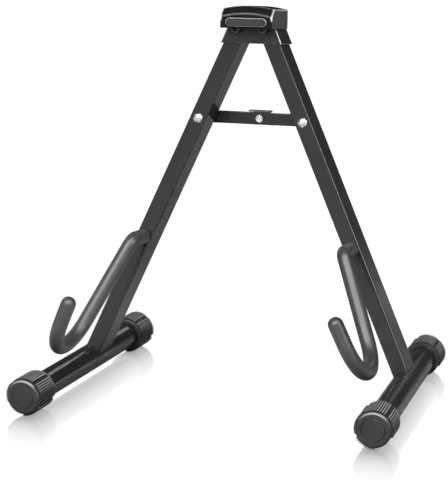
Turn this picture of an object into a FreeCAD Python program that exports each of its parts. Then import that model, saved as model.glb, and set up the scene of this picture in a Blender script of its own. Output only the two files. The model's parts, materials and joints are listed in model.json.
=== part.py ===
"""Folding A-frame guitar stand: a hinge head, two legs on foot tubes, two hooks and a brace.

The stand stands on z = 0 with its front towards -Y and +X to the right seen from the front.
Each piece is drawn in a plain frame of its own and then placed:
- head pieces: origin midway between the two leg pivots, Z up the leaning plane, front at -Y
- leg pieces: origin where the leg's axis meets the foot tube's axis, Z up the leg
- foot pieces: level, Y along the foot tube, Z straight up
- brace pieces: Z up the leaning plane, X along the straightened brace
"""
import FreeCAD, Part
import math
import os
import Sketcher
from FreeCAD import Placement, Rotation, Vector

X_AXIS = Vector(1, 0, 0)
Y_AXIS = Vector(0, 1, 0)
Z_AXIS = Vector(0, 0, 1)
SIDES = {"left": -1, "right": 1}

# ---------------------------------------------------------------- driving dimensions (mm, deg)

DRIVING = {
    "foot_half_spacing": 142.5,     # leg axis at the foot tube's axis, from the middle
    "splay": 24.0,                  # each leg from the middle, in the leaning plane
    "lean": 5.4,                    # leaning plane from the vertical
    "hinge_half_gap": 12.0,         # leg pivot from the middle
    "leg_width": 14.0,
    "leg_depth": 28.0,
    "leg_wall": 1.5,
    "leg_corner": 1.6,
    "leg_top_radius": 7.05,         # rounded upper end, about the pivot
    "bush_wall": 1.0,
    "foot_radius": 11.4,
    "foot_wall": 1.2,
    "foot_front": 145.5,            # cap end, from the leg along the foot tube
    "foot_rear": 99.5,
    "cap_length": 31.0,
    "cap_radius": 14.5,
    "cap_end_wall": 3.0,
    "cap_chamfer": 1.3,
    "cap_fit": 0.02,                # radial, over the foot tube
    "cap_groove_radius": 9.0,       # inner edge of the ring groove in the end face
    "cap_groove_width": 0.9,
    "cap_groove_depth": 0.5,
    "cap_groove_draft": 0.15,
    "rib_radius": 16.1,
    "rib_width": 1.25,
    "rib_pitch": 7.45,
    "rib_taper": 0.7,               # crest over foot
    "rib_root_depth": 0.4,          # rib's foot below the cap's surface
    "rib_mouth_gap": 1.6,           # plain rim at the mouth
    "rib_face_gap": 2.0,            # plain rim at the closed end
    "bracket_sheet": 1.8,
    "bracket_play": 0.25,           # beside a leg, all round
    "bracket_below": 12.8,          # lower edge below the pivots
    "bracket_above": 10.7,          # outer top above the pivots
    "block_half_width": 22.8,
    "block_front": 31.5,
    "block_rear": 15.1,
    "block_side_height": 16.2,      # at the sides, from the pivots' level
    "block_crown": 2.8,             # rise of the arched top at the middle
    "block_bevel": 6.5,
    "block_fit": 0.1,
    "block_edge": 0.5,              # rounding of the outer edges
    "block_wall": 3.0,              # in front of and beside the bolt hollows
    "block_rib_half": 2.0,          # between the bolt hollows
    "block_bolt_room": 3.0,         # over the bolt heads
    "block_screw_spread": 7.0,      # in front of and behind the pivots' plane
    "block_screw_radius": 1.9,
    "block_screw_reach": 6.6,       # above the bracket's web
    "block_screw_head_radius": 3.4,
    "block_screw_head_height": 2.2,
    "badge_half_length": 17.9,
    "badge_height": 7.4,
    "badge_proud": 0.9,
    "badge_level": 4.9,             # middle of the badge above the pivots
    "badge_point": 2.6,             # length of each pointed end
    "badge_blunt": 0.4,             # blunt part of each end, over the badge's height
    "badge_corner": 1.2,
    "badge_edge": 0.4,
    "pivot_bolt_radius": 3.0,
    "pivot_head_radius": 4.1,
    "pivot_head_height": 6.8,
    "pivot_recess_radius": 2.9,
    "pivot_recess_depth": 3.5,
    "running_clearance": 0.05,      # radial, at every pin
    "nut_circumradius": 5.77,       # 10 mm across flats
    "nut_height": 5.0,
    "thread_past_nut": 1.0,
    "brace_drop": 85.0,             # brace rivet below the leg's pivot, along the leg
    "arm_half_height": 5.35,
    "arm_end_corner": 1.2,          # on the front arm's square inner end
    "arm_sheet": 2.0,
    "arm_gap": 0.3,                 # between the two arms
    "washer_gap": 0.1,              # between an arm and the washer before it
    "right_washer": 0.7,
    "rivet_radius": 2.5,
    "rivet_head_radius": 4.3,
    "rivet_head_height": 2.1,
    "rivet_tail_height": 1.4,
    "rivet_chamfer": 0.6,
    "centre_rivet_head": 3.6,
    "centre_rivet_height": 1.0,
    "centre_rivet_rim": 0.4,        # straight part of the head's rim
    "centre_rivet_core": 1.7,       # raised disc inside the head's ring groove
    "centre_rivet_core_sunk": 0.2,
    "centre_rivet_groove": 0.5,
    "centre_rivet_groove_depth": 0.7,
    "tab_half_length": 9.9,
    "tab_level": 5.75,              # underside of the stop tab above the arm's axis
    "tab_sheet": 1.5,
    "tab_reach": 5.6,
    "tab_root_left": 5.3,           # the upright part ends short of the flange's left end
    "tab_bend": 1.0,
    "hook_level": 121.0,            # hook base above the foot tube's axis, along the leg
    "rod_radius": 3.5,
    "stud_radius": 2.5,
    "stud_end": 6.2,                # stud beyond the leg's rear face
    "stud_root": 0.5,               # stud's start inside the thicker rod
    "sleeve_radius": 6.3,
    "sleeve_gap": 0.7,              # bare rod between leg and sleeve
    "sleeve_end": 4.0,              # closed end of the sleeve past the rod
    "sleeve_flat": 0.25,            # radius of the flat on the rounded tip
    "hook_stub": 21.4,              # straight run out of the leg's front face
    "hook_elbow": 8.5,              # bend radii on the rod's centre line
    "hook_bend": 32.5,
    "hook_arm": 73.7,
    "hook_arm_angle": 20.9,         # forward of straight down the leg
    "hook_tip": 20.8,
    "hook_tip_angle": 8.2,          # forward of straight up the leg
    "hook_washer_radius": 5.0,
    "hook_washer": 1.0,
    "hook_nut_circumradius": 4.62,  # 8 mm across flats
    "hook_nut_height": 4.0,
}
RIB_GROUPS = 4
RIBS_IN_GROUP = 9
GROUP_GAP = 2.2                     # in rib pitches, between two groups of ribs
OVERCUT = 1.0                       # how far a cut starts outside the solid
SAME = 0.01                         # places closer than this are the same


class Size:
    """A number together with the spreadsheet expression that it comes from."""

    def __init__(self, number, text):
        self.number = float(number)
        self.text = text

    def __add__(self, other):
        return combine(self, other, "+", lambda a, b: a + b)

    def __radd__(self, other):
        return combine(other, self, "+", lambda a, b: a + b)

    def __sub__(self, other):
        return combine(self, other, "-", lambda a, b: a - b)

    def __rsub__(self, other):
        return combine(other, self, "-", lambda a, b: a - b)

    def __mul__(self, other):
        return combine(self, other, "*", lambda a, b: a * b)

    def __rmul__(self, other):
        return combine(other, self, "*", lambda a, b: a * b)

    def __truediv__(self, other):
        return combine(self, other, "/", lambda a, b: a / b)

    def __neg__(self):
        return -1 * self


def as_size(value):
    if isinstance(value, Size):
        return value
    return Size(value, repr(float(value)))


def combine(first, second, sign, operation):
    first = as_size(first)
    second = as_size(second)
    text = "({} {} {})".format(first.text, sign, second.text)
    return Size(operation(first.number, second.number), text)


def derived_dimensions(given):
    """Angles and lengths that follow from the driving dimensions."""
    splay = math.radians(given["splay"])
    lean = math.radians(given["lean"])
    hinge_height = (given["foot_half_spacing"] - given["hinge_half_gap"]) / math.tan(splay)
    foot_tilt = math.atan(math.tan(lean) / math.cos(splay))
    toe = math.asin(math.sin(foot_tilt) * math.sin(splay))
    brace_half = given["hinge_half_gap"] + given["brace_drop"] * math.sin(splay)
    return {
        "hinge_height": hinge_height,               # pivots above the foot axes, up the plane
        "leg_length": hinge_height / math.cos(splay),
        "foot_tilt": math.degrees(foot_tilt),       # foot tube from square to its leg
        "toe": math.degrees(toe),                   # foot tube from straight ahead
        "brace_half": brace_half,                   # brace rivet from the middle
        "splay_cos": math.cos(splay),
        "splay_tan": math.tan(splay),
    }


doc = FreeCAD.newDocument("guitar_stand")
sheet = doc.addObject("Spreadsheet::Sheet", "Sizes")
SIZES = {}


def fill_sheet():
    values = dict(DRIVING)
    values.update(derived_dimensions(DRIVING))
    for row, (name, number) in enumerate(values.items(), start=1):
        sheet.set("A{}".format(row), name)
        sheet.set("B{}".format(row), repr(number))
        sheet.setAlias("B{}".format(row), name)
        SIZES[name] = Size(number, "Sizes." + name)
    doc.recompute()


fill_sheet()


def size(name):
    return SIZES[name]


def bind(item, attribute, value):
    """Tie an object's property to the sheet."""
    item.setExpression(attribute, as_size(value).text)


# ---------------------------------------------------------------- placing

LEAN = Rotation(X_AXIS, -size("lean").number)
MIDDLE_Y = (size("foot_front").number - size("foot_rear").number) / 2
MIDDLE_Y *= math.cos(math.radians(size("toe").number))
FOOT_AXIS_HEIGHT = size("rib_radius").number


def up_the_plane(across, up):
    """A point of the leaning plane, up from the foot axes."""
    foot_line = Vector(0, MIDDLE_Y, FOOT_AXIS_HEIGHT)
    return foot_line + LEAN.multVec(Vector(across, 0, up))


def head_placement():
    return Placement(up_the_plane(0, size("hinge_height").number), LEAN)


def leg_placement(side):
    splay = Rotation(Y_AXIS, -side * size("splay").number)
    return Placement(up_the_plane(side * size("foot_half_spacing").number, 0), LEAN * splay)


def foot_placement(side):
    toe = Rotation(Z_AXIS, side * size("toe").number)
    return Placement(up_the_plane(side * size("foot_half_spacing").number, 0), toe)


def brace_placement():
    splay = math.radians(size("splay").number)
    level = size("hinge_height").number - size("brace_drop").number * math.cos(splay)
    return Placement(up_the_plane(0, level), LEAN)


# ---------------------------------------------------------------- drawing helpers

def new_body(label):
    body = doc.addObject("PartDesign::Body", label)
    body.Label = label
    return body


def origin_item(body, role):
    return next(item for item in body.Origin.OriginFeatures if item.Role == role)


def new_sketch(body, name, role, forward=0.0, rotation=None):
    """A sketch on an origin plane, moved forward along that plane's normal."""
    sketch = body.newObject("Sketcher::SketchObject", name)
    sketch.AttachmentSupport = [(origin_item(body, role), "")]
    sketch.MapMode = "FlatFace"
    sketch.AttachmentOffset = Placement(Vector(0, 0, 0), rotation or Rotation())
    bind(sketch, "AttachmentOffset.Base.z", forward)
    return sketch


def constrain(sketch, kind, *arguments, value=None):
    if value is None:
        sketch.addConstraint(Sketcher.Constraint(kind, *arguments))
        return
    index = sketch.addConstraint(Sketcher.Constraint(kind, *arguments, as_size(value).number))
    bind(sketch, "Constraints[{}]".format(index), value)


def pin_point(sketch, geometry, end, x, y):
    """Hold one end of a sketch line or arc at x, y."""
    for value, kind, axis in ((x, "DistanceX", -2), (y, "DistanceY", -1)):
        if abs(as_size(value).number) < 1e-9:
            constrain(sketch, "PointOnObject", geometry, end, axis)
        else:
            constrain(sketch, kind, geometry, end, value=value)


def add_circle(sketch, radius, x=0.0, y=0.0):
    centre = Vector(as_size(x).number, as_size(y).number, 0)
    circle = Part.Circle(centre, Z_AXIS, as_size(radius).number)
    index = sketch.addGeometry(circle, False)
    constrain(sketch, "Radius", index, value=radius)
    pin_point(sketch, index, 3, x, y)


def short_arc(centre, radius, first, second):
    """The arc under half a turn between two points, run anticlockwise as sketches need."""
    start = math.atan2(first.y - centre.y, first.x - centre.x)
    end = math.atan2(second.y - centre.y, second.x - centre.x)
    if (end - start) % (2 * math.pi) > math.pi:
        start, end = end, start
    return Part.ArcOfCircle(Part.Circle(centre, Z_AXIS, radius), start, end)


def arc_between(start, end, radius):
    """Arc from start to end that bulges to the right of the way from start to end."""
    chord = end - start
    half = chord.Length / 2
    left = Vector(-chord.y, chord.x, 0).normalize()
    centre = (start + end) / 2 + left * math.sqrt(radius * radius - half * half)
    return short_arc(centre, radius, start, end)


def add_outline(sketch, corners):
    """A closed outline. A corner is (x, y), or (x, y, radius) where an arc leaves it."""
    points = [Vector(as_size(c[0]).number, as_size(c[1]).number, 0) for c in corners]
    indices = []
    for number, corner in enumerate(corners):
        start = points[number]
        end = points[(number + 1) % len(points)]
        if len(corner) == 3:
            edge = arc_between(start, end, as_size(corner[2]).number)
        else:
            edge = Part.LineSegment(start, end)
        indices.append(sketch.addGeometry(edge, False))
    for number, corner in enumerate(corners):
        index = indices[number]
        geometry = sketch.Geometry[index]
        forwards = geometry.StartPoint.distanceToPoint(points[number]) < 1e-6
        following = indices[(number + 1) % len(indices)]
        next_start = points[(number + 1) % len(points)]
        next_forwards = sketch.Geometry[following].StartPoint.distanceToPoint(next_start) < 1e-6
        pin_point(sketch, index, 1 if forwards else 2, corner[0], corner[1])
        constrain(sketch, "Coincident", index, 2 if forwards else 1,
                  following, 1 if next_forwards else 2)
        if len(corner) == 3:
            constrain(sketch, "Radius", index, value=corner[2])


def rectangle(left, right, bottom, top):
    return [(left, bottom), (right, bottom), (right, top), (left, top)]


def add_feature(body, kind, name, profile=None):
    feature = body.newObject("PartDesign::" + kind, name)
    if profile is not None:
        feature.Profile = profile
        profile.Visibility = False
    body.Tip = feature
    return feature


def pad(body, sketch, length, backwards=False, symmetric=False):
    feature = add_feature(body, "Pad", sketch.Name + "_pad", sketch)
    bind(feature, "Length", length)
    feature.Reversed = backwards
    feature.Midplane = symmetric
    doc.recompute()
    return feature


def pocket(body, sketch, length, backwards=False, symmetric=False):
    """Cut a sketch into the body, and stop if nothing was cut."""
    before = body.Shape.Volume
    feature = add_feature(body, "Pocket", sketch.Name + "_pocket", sketch)
    bind(feature, "Length", length)
    feature.Reversed = backwards
    feature.Midplane = symmetric
    doc.recompute()
    if not body.Shape.Volume < before - 1e-3:
        raise RuntimeError("nothing was cut by " + sketch.Name)
    return feature


def revolve(body, sketch):
    """A full turn about the sketch's own horizontal axis."""
    feature = add_feature(body, "Revolution", sketch.Name + "_turn", sketch)
    feature.ReferenceAxis = (sketch, ["H_Axis"])
    feature.Angle = 360
    doc.recompute()
    return feature


def edges_where(feature, test):
    return ["Edge{}".format(number) for number, edge in enumerate(feature.Shape.Edges, start=1)
            if test(edge)]


def fillet(body, feature, radius, test):
    rounded = add_feature(body, "Fillet", feature.Name + "_round")
    rounded.Base = (feature, edges_where(feature, test))
    bind(rounded, "Radius", radius)
    doc.recompute()
    return rounded


def chamfer(body, feature, length, test):
    cut = add_feature(body, "Chamfer", feature.Name + "_chamfer")
    cut.Base = (feature, edges_where(feature, test))
    bind(cut, "Size", length)
    doc.recompute()
    return cut


def points_along(edge):
    """Direction of a straight edge, or None."""
    if not isinstance(edge.Curve, Part.Line):
        return None
    return edge.tangentAt(edge.FirstParameter)


def cylinder(name, radius, height, position=Vector(0, 0, 0)):
    """A plain cylinder along Y, from its position backwards."""
    solid = doc.addObject("Part::Cylinder", name)
    bind(solid, "Radius", radius)
    bind(solid, "Height", height)
    solid.Placement = Placement(position, Rotation(X_AXIS, -90))
    return solid


def upright_cylinder(name, radius, height, position):
    """A plain cylinder along Z, from its position upwards."""
    solid = cylinder(name, radius, height)
    solid.Placement = Placement(position, Rotation())
    return solid


def hexagon(name, circumradius, height, position=Vector(0, 0, 0)):
    solid = doc.addObject("Part::Prism", name)
    solid.Polygon = 6
    bind(solid, "Circumradius", circumradius)
    bind(solid, "Height", height)
    solid.Placement = Placement(position, Rotation(X_AXIS, -90))
    return solid


def cut(label, base, tool):
    result = doc.addObject("Part::Cut", label)
    result.Label = label
    result.Base = base
    result.Tool = tool
    return result


def group(label, members):
    """Identical fasteners kept as separate solids of one node."""
    result = doc.addObject("Part::Compound", label)
    result.Label = label
    result.Links = members
    return result


def ring(label, outer, inner, height):
    """A washer, spacer or bush along Y, from y = 0 backwards."""
    body = cylinder(label + "_body", outer, height)
    hole = cylinder(label + "_hole", inner, height)
    return cut(label, body, hole)


# ---------------------------------------------------------------- head

def bracket_half_width(level, outer):
    """Half the trapezoid's width at a height above the pivots."""
    beside_leg = size("leg_width") / 2 + size("bracket_play")
    if outer:
        beside_leg = beside_leg + size("bracket_sheet")
    return size("hinge_half_gap") + beside_leg / size("splay_cos") - level * size("splay_tan")


def trapezoid(bottom, top, outer=True, spare=0.0):
    low = bracket_half_width(bottom, outer) + spare
    high = bracket_half_width(top, outer) + spare
    return [(-low, bottom), (low, bottom), (high, top), (-high, top)]


def make_bracket():
    """Folded sheet sleeve that holds both legs: open below, closed by a web on top."""
    body = new_body("hinge_bracket")
    outside = new_sketch(body, "bracket_outside", "XZ_Plane")
    add_outline(outside, trapezoid(-size("bracket_below"), size("bracket_above")))
    inner_depth = size("leg_depth") + 2 * size("bracket_play")
    solid = pad(body, outside, inner_depth + 2 * size("bracket_sheet"), symmetric=True)

    def on_corner(edge):
        direction = points_along(edge)
        return direction is not None and abs(direction.z) > 0.5
    fillet(body, solid, size("bracket_sheet"), on_corner)

    inside = new_sketch(body, "bracket_inside", "XZ_Plane")
    web_level = size("bracket_above") - size("bracket_sheet")
    add_outline(inside, trapezoid(-size("bracket_below") - OVERCUT, web_level, outer=False))
    pocket(body, inside, inner_depth, symmetric=True)

    holes = new_sketch(body, "bracket_holes", "XZ_Plane")
    for side in (-1, 1):
        add_circle(holes, size("pivot_bolt_radius"), side * size("hinge_half_gap"))
    pocket(body, holes, 2 * size("leg_depth"), symmetric=True)
    add_screw_holes(body, "bracket", size("bracket_above"))
    body.Placement = head_placement()
    return body


def add_screw_holes(body, name, top):
    """Holes for the two block screws, from the pivots' level up to the given one."""
    holes = new_sketch(body, name + "_screw_holes", "XY_Plane")
    for way in (-1, 1):
        add_circle(holes, size("block_screw_radius"), 0.0, way * size("block_screw_spread"))
    pocket(body, holes, top, backwards=True)


def make_block():
    """Moulded rubber block over the bracket, with an arched top and a bevel in front."""
    body = new_body("head_block")
    half = size("block_half_width")
    top = size("block_side_height")
    crown = size("block_crown")
    arch = (half * half + crown * crown) / (2 * crown)
    front_view = new_sketch(body, "block_front_view", "XZ_Plane", forward=size("block_front"))
    add_outline(front_view, [(-half, 0.0), (half, 0.0), (half, top, arch), (-half, top)])
    depth = size("block_front") + size("block_rear")
    solid = pad(body, front_view, depth, backwards=True)
    front = -size("block_front").number

    def front_top(edge):
        return edge.CenterOfMass.z > top.number and abs(edge.CenterOfMass.y - front) < SAME
    bevelled = chamfer(body, solid, size("block_bevel"), front_top)

    def outer_edge(edge):
        return edge.CenterOfMass.z > SAME
    fillet(body, bevelled, size("block_edge"), outer_edge)

    seat = new_sketch(body, "block_seat", "XZ_Plane")
    seat_top = size("bracket_above") + size("block_fit")
    add_outline(seat, trapezoid(as_size(-OVERCUT), seat_top, spare=size("block_fit")))
    bracket_front = size("leg_depth") / 2 + size("bracket_play") + size("bracket_sheet")
    seat_depth = 2 * (size("block_rear") + OVERCUT)
    pocket(body, seat, seat_depth, symmetric=True)

    hollows = new_sketch(body, "block_hollows", "XY_Plane")
    wall = size("block_wall")
    for side in (-1, 1):
        near = side * size("block_rib_half")
        far = side * (half - wall)
        left, right = (near, far) if side > 0 else (far, near)
        add_outline(hollows, rectangle(left, right, wall - size("block_front"), -bracket_front))
    pocket(body, hollows, size("pivot_head_radius") + size("block_bolt_room"), backwards=True)
    web_level = size("bracket_above") - size("bracket_sheet")
    add_screw_holes(body, "block", web_level + size("block_screw_reach"))
    body.Placement = head_placement()
    return body


def make_badge():
    """Plain raised plate on the block's front, with pointed rounded ends."""
    body = new_body("head_badge")
    outline = new_sketch(body, "badge_outline", "XZ_Plane", forward=size("block_front"))
    half = size("badge_half_length")
    low = size("badge_level") - size("badge_height") / 2
    high = size("badge_level") + size("badge_height") / 2
    shoulder = half - size("badge_point")
    waist = size("badge_height") * size("badge_blunt") / 2
    add_outline(outline, [
        (-shoulder, low), (shoulder, low),
        (half, size("badge_level") - waist), (half, size("badge_level") + waist),
        (shoulder, high), (-shoulder, high),
        (-half, size("badge_level") + waist), (-half, size("badge_level") - waist)])
    plate = pad(body, outline, size("badge_proud"))
    face = -(size("block_front") + size("badge_proud")).number

    def across_depth(edge):
        direction = points_along(edge)
        return direction is not None and abs(direction.y) > 0.9
    rounded = fillet(body, plate, size("badge_corner"), across_depth)

    def front_rim(edge):
        return abs(edge.CenterOfMass.y - face) < SAME
    fillet(body, rounded, size("badge_edge"), front_rim)
    body.Placement = head_placement()
    return body


def make_pivot_bolt(side):
    """Socket-head bolt through bracket and leg."""
    name = "pivot_bolt_" + ("left" if side < 0 else "right")
    x = side * size("hinge_half_gap").number
    plate = (size("leg_depth") / 2 + size("bracket_play") + size("bracket_sheet"))
    head_height = size("pivot_head_height")
    head = cylinder(name + "_head", size("pivot_head_radius"), head_height,
                    Vector(x, -(plate + head_height).number, 0))
    length = 2 * plate + size("nut_height") + size("thread_past_nut")
    shank = cylinder(name + "_shank", size("pivot_bolt_radius"), length,
                     Vector(x, -plate.number, 0))
    whole = doc.addObject("Part::Fuse", name + "_whole")
    whole.Base = head
    whole.Tool = shank
    socket = hexagon(name + "_socket", size("pivot_recess_radius"), size("pivot_recess_depth"),
                     Vector(x, -(plate + head_height).number, 0))
    return cut(name, whole, socket)


def make_pivot_nut(side):
    name = "pivot_nut_" + ("left" if side < 0 else "right")
    x = side * size("hinge_half_gap").number
    plate = (size("leg_depth") / 2 + size("bracket_play") + size("bracket_sheet")).number
    nut = hexagon(name + "_body", size("nut_circumradius"), size("nut_height"),
                  Vector(x, plate, 0))
    hole = cylinder(name + "_hole", size("pivot_bolt_radius"), size("nut_height"),
                    Vector(x, plate, 0))
    return cut(name, nut, hole)


def make_block_screw(number, way):
    """Pan-head screw from inside the bracket up into the block."""
    name = "block_screw_{}".format(number)
    head_height = size("block_screw_head_height")
    web = size("bracket_above") - size("bracket_sheet")
    place = Vector(0, way * size("block_screw_spread").number, web.number)
    whole = doc.addObject("Part::Fuse", name)
    whole.Base = upright_cylinder(name + "_head", size("block_screw_head_radius"), head_height,
                                  place - Vector(0, 0, head_height.number))
    whole.Tool = upright_cylinder(name + "_shank", size("block_screw_radius"),
                                  size("block_screw_reach"), place)
    return whole


def make_head_fasteners():
    bolts = group("pivot_bolts", [make_pivot_bolt(side) for side in (-1, 1)])
    nuts = group("pivot_nuts", [make_pivot_nut(side) for side in (-1, 1)])
    screws = group("block_screws", [make_block_screw(number, way)
                                    for number, way in enumerate((-1, 1), start=1)])
    for node in (bolts, nuts, screws):
        node.Placement = head_placement()
    return [bolts, nuts, screws]


# ---------------------------------------------------------------- legs and feet

def make_leg(side_name, side):
    """Rectangular tube, coped to the foot tube below and drilled for its fasteners."""
    body = new_body(side_name + "_leg_tube")
    section = new_sketch(body, side_name + "_leg_section", "XY_Plane")
    half_width = size("leg_width") / 2
    half_depth = size("leg_depth") / 2
    wall = size("leg_wall")
    add_outline(section, rectangle(-half_width, half_width, -half_depth, half_depth))
    add_outline(section, rectangle(wall - half_width, half_width - wall,
                                   wall - half_depth, half_depth - wall))
    tube = pad(body, section, size("leg_length") + size("leg_top_radius"))

    def outer_corner(edge):
        direction = points_along(edge)
        if direction is None or abs(direction.z) < 0.9:
            return False
        return abs(abs(edge.CenterOfMass.x) - half_width.number) < SAME
    fillet(body, tube, size("leg_corner"), outer_corner)
    round_leg_top(body, side_name)

    cope = new_sketch(body, side_name + "_leg_cope", "XZ_Plane",
                      rotation=Rotation(X_AXIS, size("foot_tilt").number))
    add_circle(cope, size("foot_radius"))
    pocket(body, cope, 3 * size("leg_depth"), symmetric=True)

    holes = new_sketch(body, side_name + "_leg_holes", "XZ_Plane")
    bush_radius = size("pivot_bolt_radius") + size("running_clearance") + size("bush_wall")
    add_circle(holes, bush_radius, 0.0, size("leg_length"))
    add_circle(holes, size("rivet_radius"), 0.0, size("leg_length") - size("brace_drop"))
    add_circle(holes, size("stud_radius"), 0.0, size("hook_level"))
    pocket(body, holes, 2 * size("leg_depth"), symmetric=True)
    body.Placement = leg_placement(side)
    return body


def round_leg_top(body, side_name):
    """Round the tube's upper end about its pivot, so that it turns inside the bracket."""
    level = size("leg_length")
    radius = size("leg_top_radius")
    beside = radius + OVERCUT
    over = level + beside
    waste = new_sketch(body, side_name + "_leg_top", "XZ_Plane")
    add_outline(waste, [
        (beside, level), (radius, level, radius), (0.0, level + radius, radius),
        (-radius, level), (-beside, level), (-beside, over), (beside, over)])
    pocket(body, waste, 2 * size("leg_depth"), symmetric=True)


def make_pivot_bush(side_name, side):
    """Steel bush through the leg that turns on the pivot bolt."""
    inner = size("pivot_bolt_radius") + size("running_clearance")
    bush = ring(side_name + "_pivot_bush", inner + size("bush_wall"), inner, size("leg_depth"))
    local = Vector(0, -size("leg_depth").number / 2, size("leg_length").number)
    bush.Placement = leg_placement(side) * Placement(local, Rotation())
    return bush


def make_foot_tube(side_name, side):
    body = new_body(side_name + "_foot_tube")
    inside_cap = size("cap_end_wall")
    section = new_sketch(body, side_name + "_foot_section", "XZ_Plane",
                         forward=size("foot_front") - inside_cap)
    add_circle(section, size("foot_radius"))
    add_circle(section, size("foot_radius") - size("foot_wall"))
    length = size("foot_front") + size("foot_rear") - 2 * inside_cap
    pad(body, section, length, backwards=True)
    body.Placement = foot_placement(side)
    return body


def add_rib_group(body, name, smooth_side, number):
    """One run of ribs round the cap, counted from straight down away from the smooth part."""
    first = number * (RIBS_IN_GROUP - 1 + GROUP_GAP) * size("rib_pitch").number
    turn = Rotation(Z_AXIS, -smooth_side * first)
    profile = new_sketch(body, "{}_rib_{}".format(name, number), "XZ_Plane",
                         forward=size("rib_mouth_gap") - size("cap_length"), rotation=turn)
    foot = size("rib_width") / 2
    crest = foot * size("rib_taper")
    root = size("cap_radius") - size("rib_root_depth")
    top = size("rib_radius")
    add_outline(profile, [(-foot, -root), (-crest, -top), (crest, -top), (foot, -root)])
    rib = pad(body, profile,
              size("cap_length") - size("rib_mouth_gap") - size("rib_face_gap"))
    pattern = add_feature(body, "PolarPattern", "{}_ribs_{}".format(name, number))
    pattern.Originals = [rib]
    pattern.Axis = (origin_item(body, "Y_Axis"), [""])
    pattern.Occurrences = RIBS_IN_GROUP
    pattern.Reversed = smooth_side < 0
    bind(pattern, "Angle", (RIBS_IN_GROUP - 1) * size("rib_pitch"))
    body.Tip = pattern
    doc.recompute()


def make_cap(label, smooth_side, placement):
    """Ribbed rubber cup over a foot tube's end, plain between straight down and one side.

    The closed end is at y = 0 and the mouth at y = cap_length.
    """
    body = new_body(label)
    profile = new_sketch(body, label + "_profile", "XY_Plane",
                         rotation=Rotation(Z_AXIS, 90))
    groove_in = size("cap_groove_radius")
    groove_out = groove_in + size("cap_groove_width")
    groove_depth = size("cap_groove_depth")
    draft = size("cap_groove_draft")
    bore = size("foot_radius") + size("cap_fit")
    edge = size("cap_chamfer")
    add_outline(profile, [
        (0.0, 0.0), (size("cap_end_wall"), 0.0), (size("cap_end_wall"), bore),
        (size("cap_length"), bore), (size("cap_length"), size("cap_radius")),
        (edge, size("cap_radius")), (0.0, size("cap_radius") - edge), (0.0, groove_out),
        (groove_depth, groove_out - draft), (groove_depth, groove_in + draft),
        (0.0, groove_in)])
    revolve(body, profile)
    for number in range(RIB_GROUPS):
        add_rib_group(body, label, smooth_side, number)
    body.Placement = placement
    return body


def make_caps(side_name, side):
    foot = foot_placement(side)
    front = Placement(Vector(0, -size("foot_front").number, 0), Rotation())
    rear = Placement(Vector(0, size("foot_rear").number, 0), Rotation(Z_AXIS, 180))
    return [make_cap(side_name + "_front_cap", side, foot * front),
            make_cap(side_name + "_rear_cap", -side, foot * rear)]


# ---------------------------------------------------------------- hooks

def add_hook_path(sketch, start, tip):
    """Rod centre line in the leg's front-to-rear plane: stub, elbow, arm, bend and tip."""
    down = math.radians(size("hook_arm_angle").number)
    up = math.radians(size("hook_tip_angle").number)
    elbow = size("hook_elbow").number
    bend = size("hook_bend").number
    level = size("hook_level").number
    front = -(size("leg_depth") / 2 + size("hook_stub")).number
    corner_1 = Vector(front, level, 0)
    elbow_centre = corner_1 - Vector(0, elbow, 0)
    arm_way = Vector(-math.sin(down), -math.cos(down), 0)
    arm_left = Vector(-math.cos(down), math.sin(down), 0)
    corner_2 = elbow_centre + arm_left * elbow
    corner_3 = corner_2 + arm_way * size("hook_arm").number
    bend_centre = corner_3 + arm_left * bend
    tip_way = Vector(-math.sin(up), math.cos(up), 0)
    corner_4 = bend_centre + Vector(-math.cos(up), -math.sin(up), 0) * bend
    corner_5 = corner_4 + tip_way * as_size(tip).number

    edges = [
        Part.LineSegment(Vector(as_size(start).number, level, 0), corner_1),
        short_arc(elbow_centre, elbow, corner_1, corner_2),
        Part.LineSegment(corner_2, corner_3),
        short_arc(bend_centre, bend, corner_3, corner_4),
        Part.LineSegment(corner_4, corner_5),
    ]
    for edge in edges:
        sketch.addGeometry(edge, False)
    pin_point(sketch, 0, 1, start, size("hook_level"))
    constrain(sketch, "Horizontal", 0)
    constrain(sketch, "DistanceX", 0, 2, value=-(size("leg_depth") / 2 + size("hook_stub")))
    corners = [corner_1, corner_2, corner_3, corner_4]
    for number, corner in enumerate(corners):
        first_end = end_at(sketch, number, corner)
        second_end = end_at(sketch, number + 1, corner)
        constrain(sketch, "Tangent", number, first_end, number + 1, second_end)
    constrain(sketch, "Radius", 1, value=size("hook_elbow"))
    constrain(sketch, "Radius", 3, value=size("hook_bend"))
    constrain(sketch, "Distance", 2, value=size("hook_arm"))
    constrain(sketch, "Distance", 4, value=tip)
    constrain_heading(sketch, 2, -90 - size("hook_arm_angle"))
    constrain_heading(sketch, 4, 90 + size("hook_tip_angle"))
    doc.recompute()


def constrain_heading(sketch, index, degrees):
    """Hold a line's direction, in degrees from the sketch's horizontal axis."""
    radians = math.radians(degrees.number)
    number = sketch.addConstraint(Sketcher.Constraint("Angle", index, radians))
    bind(sketch, "Constraints[{}]".format(number), degrees)


def end_at(sketch, index, point):
    start = sketch.Geometry[index].StartPoint
    return 1 if start.distanceToPoint(point) < 1e-6 else 2


def add_pipe(body, kind, name, radius, start, tip):
    """Sweep a round section along the hook's centre line, from y = start."""
    section = new_sketch(body, name + "_section", "XZ_Plane", forward=-1 * as_size(start))
    add_circle(section, radius, 0.0, size("hook_level"))
    path = new_sketch(body, name + "_path", "YZ_Plane")
    add_hook_path(path, start, tip)
    pipe = add_feature(body, kind, name + "_pipe", section)
    pipe.Spine = (path, ["Edge{}".format(number) for number in range(1, 6)])
    doc.recompute()
    return pipe


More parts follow.
